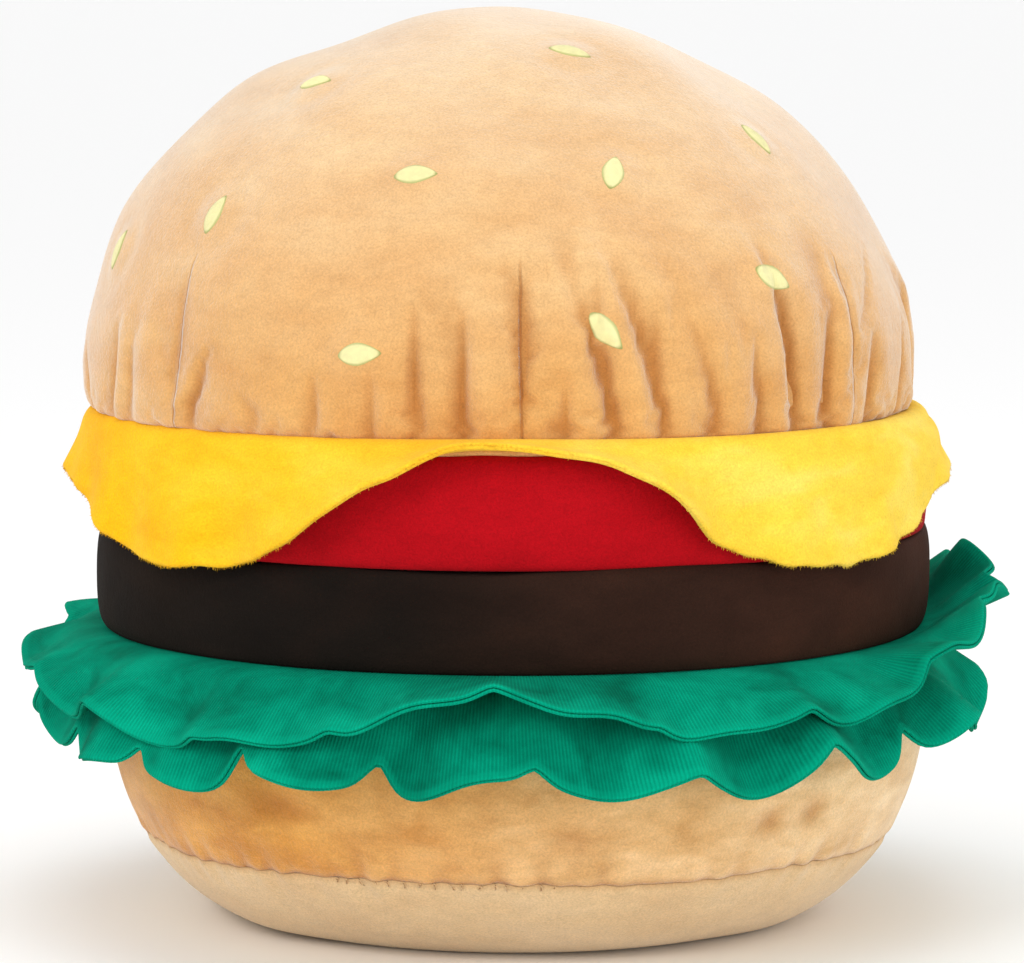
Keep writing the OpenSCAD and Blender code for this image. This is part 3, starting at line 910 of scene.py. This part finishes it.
LOWER_CURVE = chain(BASE_CURVE, SIDE_CURVE, PATTY_CURVE, TOMATO_CURVE)
make_fill("top_bun_fill", CROWN_CURVE, 9 * MM, (CROWN_Z + 4 * MM, CROWN_TOP - 10 * MM))
make_fill("lower_fill", LOWER_CURVE, 10 * MM, (8 * MM, UNDERSIDE_Z - 2 * MM))

# ---- Sheets: the cheese and the lettuce ----


def hang(radius, height, distance, droop, bend):
    """Radius and height of a sheet at distances past its seam, for a droop in radians."""
    held = np.minimum(distance, 0)
    curved = np.clip(distance, 0, bend)
    free = np.maximum(distance - bend, 0)
    tilt = droop * curved / bend
    r = radius + held + curved * np.cos(tilt / 2) + free * np.cos(droop)
    z = height - curved * np.sin(tilt / 2) - free * np.sin(droop)
    return r, z


def rows_to_hem(first):
    """Share of the way from the seam to the hem at each row, closer together over the hem."""
    return np.concatenate([np.linspace(first, 0.93, 34), [0.955, 0.975, 0.99, 0.998, 1.0]])[:, None]


def hem_rounding(past, radius):
    """1 away from the hem and 0 on it, as a half circle of the radius."""
    return np.sqrt(np.clip(1 - np.clip(1 - past / radius, 0, 1) ** 2, 0, 1))


HEM_FIBRES = 7000


def hem_fibres(hem, outward, seed, count):
    """Loose fibres along a raw hem: thin curved spikes, as points and faces."""
    rng = np.random.default_rng(seed)
    where = rng.uniform(0, len(hem), count)
    i, f = where.astype(int), (where % 1)[:, None]
    root = hem[i] * (1 - f) + hem[(i + 1) % len(hem)] * f
    out = outward[i] / np.linalg.norm(outward[i], axis=1, keepdims=True)
    side_way = rng.normal(size=(count, 3))
    ahead = out + 0.55 * side_way
    ahead /= np.linalg.norm(ahead, axis=1, keepdims=True)
    bend = out * 0.4 + 0.8 * rng.normal(size=(count, 3))
    length = (0.3 + 0.8 * rng.random((count, 1)) ** 2) * MM
    root = root + side_way * 0.35 * MM - out * 0.7 * MM
    across = np.cross(ahead, rng.normal(size=(count, 3)))
    across /= np.linalg.norm(across, axis=1, keepdims=True)
    other = np.cross(ahead, across)
    corners = [across, -0.5 * across + 0.87 * other, -0.5 * across - 0.87 * other]
    first = [root + 0.13 * MM * c for c in corners]
    middle_of = root + ahead * (0.6 * MM + 0.4 * length)
    second = [middle_of + 0.09 * MM * c for c in corners]
    tip = middle_of + (ahead + 0.5 * bend) * 0.5 * length
    points = np.stack(first + second + [tip], 1).reshape(-1, 3)
    pattern = [(0, 2, 1), (0, 1, 4, 3), (1, 2, 5, 4), (2, 0, 3, 5), (3, 4, 6), (4, 5, 6), (5, 3, 6)]
    faces = [tuple(7 * k + j for j in face) for k in range(count) for face in pattern]
    return points, faces


def cloth_sheet(name, middle, low, high, rounding, mat, fields=None, whole=False, extra=None):
    """Closed sheet between `low` and `high` above a grid of mid points, with a rounded hem.
    `rounding` runs from 1 to 0 over the hem. A whole sheet has no hole in its middle."""
    normal = normals_of(middle)
    centre, half = (low + high) / 2, (high - low) / 2
    upper = middle + normal * (centre + half * rounding)[..., None]
    under = middle + normal * (centre - half * rounding)[..., None]
    grid = np.concatenate([upper, under[::-1]])
    fields = {key: np.concatenate([f, f[::-1]]) for key, f in (fields or {}).items()}
    if whole:
        top, bottom = upper[0].mean(axis=0), under[0].mean(axis=0)
        return skin(name, grid, mat, start_pole=top, end_pole=bottom, fields=fields, extra=extra)
    return skin(name, grid, mat, loop=True, fields=fields)


CHEESE_HALF = 200 * MM
CHEESE_CORNER = 125 * MM
CHEESE_SHIFT = 8 * MM
# Droop of the slice's edge in degrees, at equal steps of azimuth
CHEESE_DROOP = [-7, 24, 75, 81, 77, 74, 72, 74, 78, 80, 78, 70,
                62, 70, 78, 80, 78, 76, 74, 77, 82, 83, 78, 25]


def square_edge(azimuth):
    a = np.abs((azimuth / (math.pi / 2)) % 1 * (math.pi / 2) - math.pi / 4)
    c = (CHEESE_HALF - CHEESE_CORNER) * math.sqrt(2)
    straight = CHEESE_HALF / np.cos(math.pi / 4 - a)
    corner = c * np.cos(a) + np.sqrt(np.maximum(CHEESE_CORNER ** 2 - (c * np.sin(a)) ** 2, 0))
    return np.where(straight * np.sin(math.pi / 4 - a) > CHEESE_HALF - CHEESE_CORNER, corner, straight)


def clear_of_filling(r, z, azimuth, distance):
    """The slice's radii, eased out to where it rests on the tomato and the patty."""
    filling = chain(PATTY_CURVE, TOMATO_CURVE)
    rest = np.interp(z, filling[:, 1], filling[:, 0]) + DRUM_SHIFT * np.sin(azimuth) + CHEESE_T / 2 + 2 * MM
    return r + np.maximum(rest - r, 0) * step(distance, 2 * MM, 14 * MM)


def make_cheese():
    azimuth = azimuths(540)[None, :]
    edge = square_edge(azimuth) - CHEESE_SHIFT * np.cos(azimuth) - CHEESE_SEAM_R
    share = rows_to_hem(0)
    droop = np.radians(eased(CHEESE_DROOP, azimuth))
    frayed = waves(azimuth, 0.0, 81, 20, 70, 1, 60) * 0.35 * MM
    distance = share * (edge + frayed)
    r, z = hang(CHEESE_SEAM_R, CHEESE_MID_Z, distance, droop, 9 * MM)
    loose = step(distance, 6 * MM, 45 * MM)
    broad, fine = waves(azimuth, distance, 82, 6, 18, 0.3), waves(azimuth, distance, 83, 18, 44, 0.1)
    folds = (broad * 3.0 + fine * 0.8) * MM
    folds = folds * loose
    roll = 1.8 * MM * step(distance, -2 * MM, 5 * MM) * (1 - step(distance, 6 * MM, 16 * MM))
    r = r + folds * np.sin(droop)
    z = z + folds * np.cos(droop) + roll
    hanging = spun(clear_of_filling(r, z, azimuth, distance), z, azimuth)
    flat_r = np.linspace(12 * MM, CHEESE_SEAM_R - 4 * MM, 8)[:, None]
    flat = spun(flat_r + 0 * azimuth, CHEESE_MID_Z + 0 * flat_r, azimuth)
    middle = np.concatenate([flat, hanging])
    rounding = np.concatenate([np.ones(flat.shape[:2]), hem_rounding((1 - share) * edge, CHEESE_T / 2)])
    fuzz = hem_fibres(middle[-1], middle[-1] - middle[-6], 84, HEM_FIBRES)
    piece = cloth_sheet("cheese_slice", middle, -CHEESE_T / 2, CHEESE_T / 2, rounding, CHEESE,
                        whole=True, extra=fuzz)
    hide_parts("cheese_slice")


make_cheese()

# Droop of each frill's hem in degrees, at equal steps of azimuth. A negative angle stands up.
UPPER_DROOP = [0, 20, 28, -4, -28, -42, -42, -10, 10, 16, 6, 12, 20, 20, 22, 24, 30, 40, 42, 22]
LOWER_DROOP = [42, 42, 46, 40, 44, 52, 52, 48, 42, 44, 40, 42, 46, 48, 54, 60, 62, 56, 50, 46]

# Depth of the notches between scallops in mm, at equal steps of azimuth
UPPER_NOTCHES = [2, 2, 5, 9, 10, 11, 10, 9, 5, 2]
LOWER_NOTCHES = [12, 11, 12, 13, 12]


def frill_mid(azimuth, width, seam_z, droops, scallops, notches, first_notch, right_trim, seed):
    """Mid surface of a frill, and how far each point is from the hem. It is narrower at both
    sides, and `right_trim` is by how much at the right."""
    uneven = 0.35 * waves(azimuth, 0.0, seed + 2, 2, 5, 1)
    place_in = ((azimuth - math.radians(first_notch)) * scallops / (2 * math.pi) + 0.06 * uneven) % 1
    off = np.abs(2 * place_in - 1)
    notch = 0.65 * off ** 2 + 0.35 * np.exp(-((1 - off) / 0.2) ** 2)
    left = 0.2 * np.exp(-(degrees_from(azimuth, -85) / math.radians(30)) ** 2)
    right = right_trim * np.exp(-(degrees_from(azimuth, 85) / math.radians(25)) ** 2)
    trim = 1 - left - right
    reach = width * trim - eased(notches, azimuth) * MM * (1 + uneven) * notch
    share = rows_to_hem(-0.16)
    distance = share * reach
    sway = waves(azimuth, 0.0, seed, 8, 18, 1) * math.radians(5)
    droop = np.radians(eased(droops, azimuth)) + sway + math.radians(7) * (0.5 - notch)
    r, z = hang(LETTUCE_SEAM_R, seam_z, distance, droop, 16 * MM)
    loose = step(distance, 4 * MM, 40 * MM)
    ripple = waves(azimuth, distance, seed + 1, 14, 34, 0.3) * 2.2 * MM * loose
    return spun(r + ripple * np.sin(droop), z + ripple * np.cos(droop), azimuth), (1 - share) * reach


def make_frill(level, width, *shape):
    """Both plies of a frill. `shape` is what frill_mid takes after the width."""
    middle, past = frill_mid(azimuths(600)[None, :], width, *shape)
    rounding = hem_rounding(past, 1.0 * MM)
    # Painted sheen along the rolled hem.
    hem = 0.35 * (1 - step(past, 2.5 * MM, 4.5 * MM))
    gap = 0.06 * PLY
    for side_name, low, high in (("face", gap, PLY), ("back", -PLY, -gap)):
        name = f"lettuce_{level}_{side_name}"
        piece = cloth_sheet(name, middle, low, high, rounding, LETTUCE, fields={"hem": hem})
        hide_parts(name)


make_frill("upper", 46 * MM, PATTY_Z - PLY, UPPER_DROOP, 20, UPPER_NOTCHES, -1, 0.02, 91)
make_frill("lower", 57 * MM, PATTY_Z - 3 * PLY, LOWER_DROOP, 22, LOWER_NOTCHES, 2.7, 0.18, 95)

# ---- Embroidered seeds ----


crown_tree = BVHTree.FromPolygons([vertex.co.copy() for vertex in crown.data.vertices],
                                  [tuple(polygon.vertices) for polygon in crown.data.polygons])
SEED_L = 18 * MM
SEED_W = 10 * MM
SEED_ROWS = 24
SEED_GRID = (121, 13)
# How each seed is turned on the crown, in degrees: 0 level, 90 upright, in the frame's order
SEED_TURNS = [7, -25, -84, 69, 6, 78, 88, -28, -56, 5, 20, 75, -30, 60, 85, 0, 10, -60, 45, 80]


def crown_axes(spot):
    """Outward, level and upward directions of the cover at a place on it."""
    level = Vector((-spot[1], spot[0], 0)).normalized()
    normal = crown_tree.find_nearest(spot)[1]
    outward = (normal if normal.dot(Vector(spot) - Vector((0, 0, CROWN_Z))) > 0 else -normal)
    level = (level - outward * level.dot(outward)).normalized()
    return outward, level, outward.cross(level)


def make_seed(node, turn):
    """Raised leaf of satin stitches that follows the crown, where the frame has its solid."""
    centre = Vector(seed_centre(node)) + Vector((CROWN_SHIFT, 0, 0))
    outward, level, up = crown_axes(centre)
    along_it = level * math.cos(turn) + up * math.sin(turn)
    across = outward.cross(along_it)
    rows, columns = SEED_GRID
    top = np.zeros((rows, columns, 3))
    stitch, rim = np.zeros((rows, columns)), np.zeros((rows, columns))
    for i, a in enumerate(np.linspace(-1, 1, rows)):
        width = SEED_W / 2 * max(1 - abs(a) ** 1.7, 0) ** 0.8 * (1 - 0.18 * a)
        for j, b in enumerate(np.linspace(-1, 1, columns)):
            spot = centre + along_it * (a * SEED_L / 2) + across * (b * width)
            hit = crown_tree.ray_cast(spot + outward * 0.03, -outward)[0] or spot
            dome = max(1 - b ** 4, 0) ** 0.5 * max(1 - a ** 6, 0) ** 0.5
            wave = math.cos(2 * math.pi * SEED_ROWS * (a + 0.08 * b))
            top[i, j] = hit + outward * ((0.9 * dome - 0.35 + 0.06 * wave * dome) * MM)
            # Painted shade between stitches and on the rim, stored as the row and rim fields.
            stitch[i, j], rim[i, j] = 0.5 + 0.5 * wave, 0.9 * (1 - step(dome, 0.6, 0.92))
    piece = slab(f"{node}_stitches", top, top - np.array(outward) * 1.2 * MM, SEED,
                 {"row": stitch, "rim": rim})
    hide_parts(node)


def slab(name, top, under, mat, fields=None):
    """Closed piece between two open grids of the same size."""
    rows, columns = top.shape[:2]
    count = rows * columns
    index = np.arange(count).reshape(rows, columns)
    quads = np.stack([index[:-1, :-1], index[1:, :-1], index[1:, 1:], index[:-1, 1:]], -1).reshape(-1, 4)
    border = np.concatenate([index[0, :], index[1:, -1], index[-1, -2::-1], index[-2:0:-1, 0]])
    after = np.roll(border, -1)
    walls = np.stack([border, after, after + count, border + count], -1)
    faces = np.concatenate([quads, quads[:, ::-1] + count, walls]).tolist()
    points = np.concatenate([top.reshape(-1, 3), under.reshape(-1, 3)])
    fields = {key: np.tile(field.ravel(), 2) for key, field in (fields or {}).items()}
    return new_piece(name, points, faces, mat, fields)


for seed_node, seed_turn in zip(seed_nodes(), SEED_TURNS):
    make_seed(seed_node, math.radians(seed_turn))

# ---- Threads and label ----

STITCH_PITCH = 3 * MM


def make_seam_thread(node, mat, shift):
    """Ring of machine stitches inside a seam, dipping into the cloth between stitches."""
    radius, level = radius_of(node), (low_z(node) + high_z(node)) / 2
    azimuth = azimuths(900)[:, None]
    stitches = round(2 * math.pi * radius / STITCH_PITCH)
    turn = np.linspace(0, 2 * math.pi, 8, endpoint=False)[None, :]
    ring_r = radius - 1 * MM + 0.25 * MM * np.cos(stitches * azimuth)
    grid = spun(ring_r + 0.3 * MM * np.cos(turn), level + 0.3 * MM * np.sin(turn), azimuth)
    piece = skin(node, grid + [shift, 0, 0], mat, loop=True)
    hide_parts(node)


make_seam_thread("base_seam_thread", BUN_THREAD, DRUM_SHIFT)
make_seam_thread("cheese_seam_thread", BUN_THREAD, 0)
make_seam_thread("lettuce_seam_thread", LETTUCE_THREAD, DRUM_SHIFT)
make_seam_thread("patty_seam_thread", TOMATO_THREAD, DRUM_SHIFT)
make_seam_thread("tomato_seam_thread", TOMATO_THREAD, DRUM_SHIFT)

CLOSING_STITCHES = 17
CLOSING_FROM, CLOSING_TO = -27, 8
STITCH_RADIUS = 0.33 * MM
STITCH_RINGS, STITCH_SIDES = 7, 6


def stitch_points(azimuth, lean, tall):
    """Rings of points along one stitch, which arches over the seam and dips in at its ends."""
    path = [spun(BASE_SEAM_R + tall * 0.6 * t - 0.9 * abs(t) ** 3 * MM, BASE_SEAM_Z + tall * t,
                 azimuth + lean * t / BASE_SEAM_R) + [DRUM_SHIFT, 0, 0]
            for t in np.linspace(-1, 1, STITCH_RINGS)]
    out = np.array([math.sin(azimuth), -math.cos(azimuth), -0.4])
    level = np.array([math.cos(azimuth), math.sin(azimuth), 0])
    turn = np.linspace(0, 2 * math.pi, STITCH_SIDES, endpoint=False)
    ring = (np.cos(turn)[:, None] * level + np.sin(turn)[:, None] * out) * STITCH_RADIUS
    return (np.array(path)[:, None, :] + ring[None] - out * 0.3 * MM).reshape(-1, 3)


def stitch_faces(start):
    """Faces of one stitch whose points begin at `start`."""
    sides = STITCH_SIDES
    faces = []
    for low in range(start, start + (STITCH_RINGS - 1) * sides, sides):
        faces += [(low + j, low + (j + 1) % sides, low + sides + (j + 1) % sides, low + sides + j)
                  for j in range(sides)]
    last = start + (STITCH_RINGS - 1) * sides
    return faces + [tuple(range(start + sides - 1, start - 1, -1)), tuple(range(last, last + sides))]


def make_closing_stitches():
    """Hand ladder stitches across the base seam, drawn into it unevenly."""
    rng = np.random.default_rng(23)
    points, faces = [], []
    for centre in np.linspace(CLOSING_FROM, CLOSING_TO, CLOSING_STITCHES):
        azimuth = math.radians(centre + rng.uniform(-0.5, 0.5))
        lean, tall = rng.uniform(-1.4, 1.4) * MM, rng.uniform(0.9, 1.7) * MM
        faces += stitch_faces(len(points))
        points += list(stitch_points(azimuth, lean, tall))
    piece = new_piece("closing_stitches_thread", points, faces, BUN_THREAD)
    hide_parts("closing_stitches")


make_closing_stitches()

LABEL_AZIMUTH = math.radians(200)
LABEL_W = 24 * MM
LABEL_DROP = 28 * MM
LABEL_T = 0.3 * MM


def label_path():
    """Distance out and height along the ribbon: down its outer leg, round the fold and back up."""
    t = np.linspace(0, 1, 30)
    out_leg = np.stack([-7 * MM + 9 * MM * step(t, 0, 0.3) + 3 * MM * t ** 2, -LABEL_DROP * t ** 1.3], -1)
    turn = np.linspace(0, math.pi, 9)[1:-1]
    fold = out_leg[-1] + 0.6 * MM * np.stack([np.cos(turn) - 1, -np.sin(turn)], -1)
    return np.concatenate([out_leg, fold, out_leg[::-1] - [1.2 * MM, 0]])


def label_face(line):
    """Grid of points across the ribbon along a line of (distance out, height)."""
    outward = np.array([math.sin(LABEL_AZIMUTH), -math.cos(LABEL_AZIMUTH), 0])
    level = np.array([math.cos(LABEL_AZIMUTH), math.sin(LABEL_AZIMUTH), 0])
    root = outward * BASE_SEAM_R + [DRUM_SHIFT, 0, BASE_SEAM_Z]
    width = np.linspace(-0.5, 0.5, 9) * LABEL_W
    curl = 1.2 * MM * (2 * width / LABEL_W) ** 2
    out, height = line[:, None, :1], line[:, None, 1:]
    flat = root + out * outward + height * np.array([0, 0, 1])
    return flat + width[None, :, None] * level + curl[None, :, None] * outward * (-height / LABEL_DROP)


def make_label():
    """Folded blank ribbon that hangs out of the base seam at the back."""
    path = label_path()
    slope = np.gradient(path, axis=0)
    slope /= np.linalg.norm(slope, axis=1, keepdims=True)
    offset = np.stack([-slope[:, 1], slope[:, 0]], -1) * LABEL_T / 2
    outer, inner = label_face(path + offset), label_face(path - offset)
    piece = slab("care_label_ribbon", outer, inner, LABEL)
    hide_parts("care_label")


make_label()

# ---- Floor and light ----

FLOOR_HALF = 150.0
WORLD_STRENGTH = 0.98
# Name, place, size and watts of each lamp, all of which face the cushion's middle
SOFTBOXES = [("key", (-1.2, -2.0, 1.4), 0.9, 15), ("fill", (1.4, -2.0, 0.3), 1.6, 15),
             ("top", (0.0, -0.2, 2.2), 1.5, 7)]
AIM = Vector((0, 0, 0.2))


def make_floor():
    mesh = bpy.data.meshes.new("floor")
    corners = [(x * FLOOR_HALF, y * FLOOR_HALF, 0) for x, y in ((-1, -1), (1, -1), (1, 1), (-1, 1))]
    mesh.from_pydata(corners, [], [(0, 1, 2, 3)])
    floor = bpy.data.objects.new("floor", mesh)
    bpy.context.collection.objects.link(floor)
    mesh.materials.append(material("floor", (0.97, 0.97, 0.97), 0.9, 0.0, (1, 1, 1)))


def softbox(name, location, size, watts):
    data = bpy.data.lights.new(name, "AREA")
    data.energy, data.size = watts, size
    lamp = bpy.data.objects.new(name, data)
    bpy.context.collection.objects.link(lamp)
    lamp.location = location
    lamp.rotation_euler = (AIM - Vector(location)).to_track_quat("-Z", "Y").to_euler()


def light_it():
    world = bpy.data.worlds.new("world")
    world.use_nodes = True
    bpy.context.scene.world = world
    background = world.node_tree.nodes["Background"]
    background.inputs["Color"].default_value = (1, 1, 1, 1)
    background.inputs["Strength"].default_value = WORLD_STRENGTH
    for box in SOFTBOXES:
        softbox(*box)
    bpy.context.scene.view_settings.view_transform = "Standard"


make_floor()
light_it()
